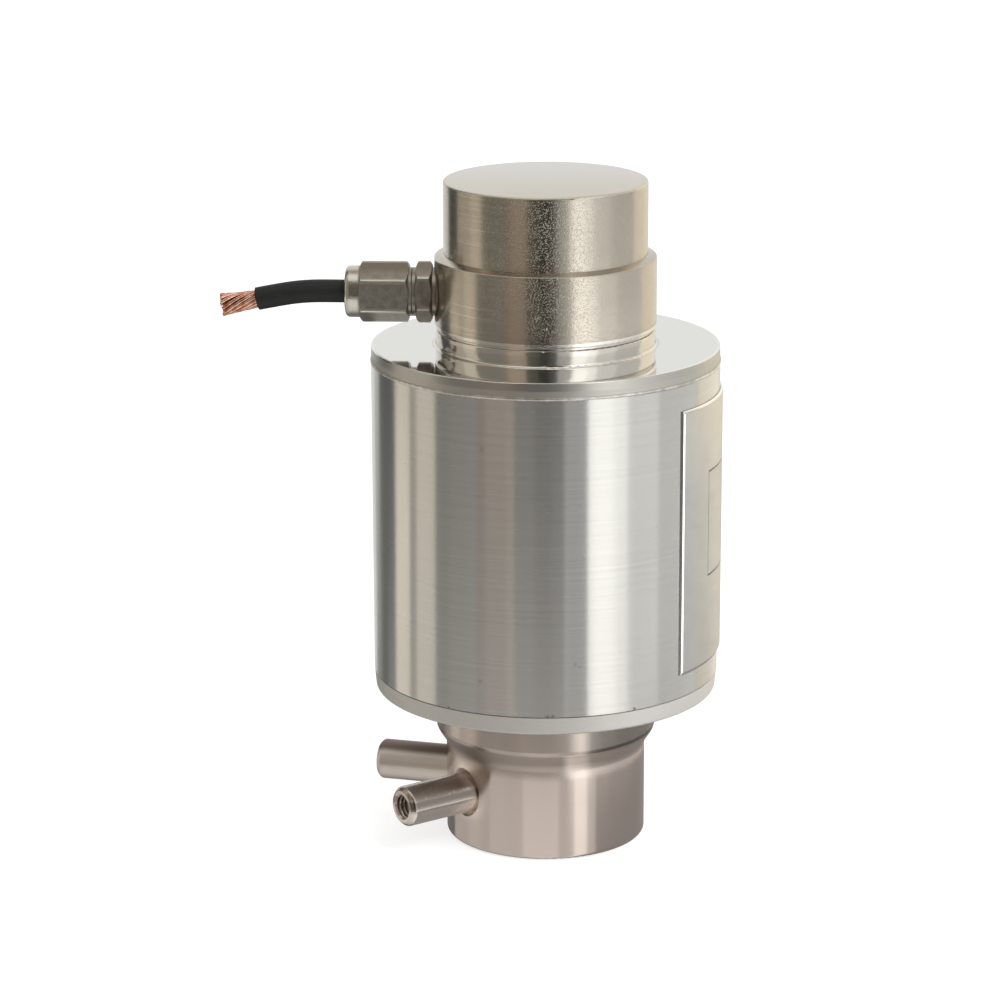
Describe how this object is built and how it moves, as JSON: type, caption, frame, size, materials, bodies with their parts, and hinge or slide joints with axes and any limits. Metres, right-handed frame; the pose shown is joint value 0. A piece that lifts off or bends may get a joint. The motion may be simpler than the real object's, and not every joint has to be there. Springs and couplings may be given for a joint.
{
  "type": "column load cell",
  "caption": "Compression load cell: a turned steel column through a brushed sealed housing, with radial anti-rotation pins in the base and a cable gland near the top.",
  "frame": {"origin": "centre of the base face, on the column's axis", "axes": "+Z along the column's axis, from the base face to the top load face; -X along the cable gland; +X through the middle of the nameplate"},
  "size_m": [0.1115, 0.0774, 0.15],
  "materials": {
    "column_steel": "turned, bright, slightly warm",
    "brushed_housing": "brushed along the axis",
    "polished_cover": "polished",
    "satin_cover": "fine matte",
    "plate_steel": "satin",
    "pin_steel": "ground satin",
    "seal_metal": "dull",
    "gland_plating": "nickel plated, bead blasted",
    "grommet_rubber": "matte",
    "ferrule_brass": "turned",
    "jacket_black": "matte",
    "copper": "bare drawn wire",
    "core_insulation": "smooth",
    "board_laminate": "solder mask",
    "resistor_ceramic": "glazed",
    "gauge_film": "clear amber film",
    "gauge_foil": "etched foil"
  },
  "bodies": {
    "root": {"column_body": "column_steel", "housing_sleeve": "brushed_housing", "top_cover": "polished_cover", "bottom_cover": "satin_cover", "nameplate": "plate_steel", "anti_rotation_pin_front": "pin_steel", "anti_rotation_pin_rear": "pin_steel", "gland_seal_ring": "seal_metal", "gland_body": "gland_plating", "gland_nut": "gland_plating", "cable_grommet": "grommet_rubber", "clamp_ferrule": "ferrule_brass", "cable_jacket": "jacket_black", "conductor_strands": "copper", "cable_cores": "core_insulation", "ring_board": "board_laminate", "board_spacers": "ferrule_brass", "board_screws": "pin_steel", "bridge_resistors": "resistor_ceramic", "gauge_leads": "copper", "gauge_backing_1": "gauge_film", "gauge_backing_2": "gauge_film", "gauge_backing_3": "gauge_film", "gauge_backing_4": "gauge_film", "gauge_grid_1": "gauge_foil", "gauge_grid_2": "gauge_foil", "gauge_grid_3": "gauge_foil", "gauge_grid_4": "gauge_foil"}
  },
  "joints": []
}
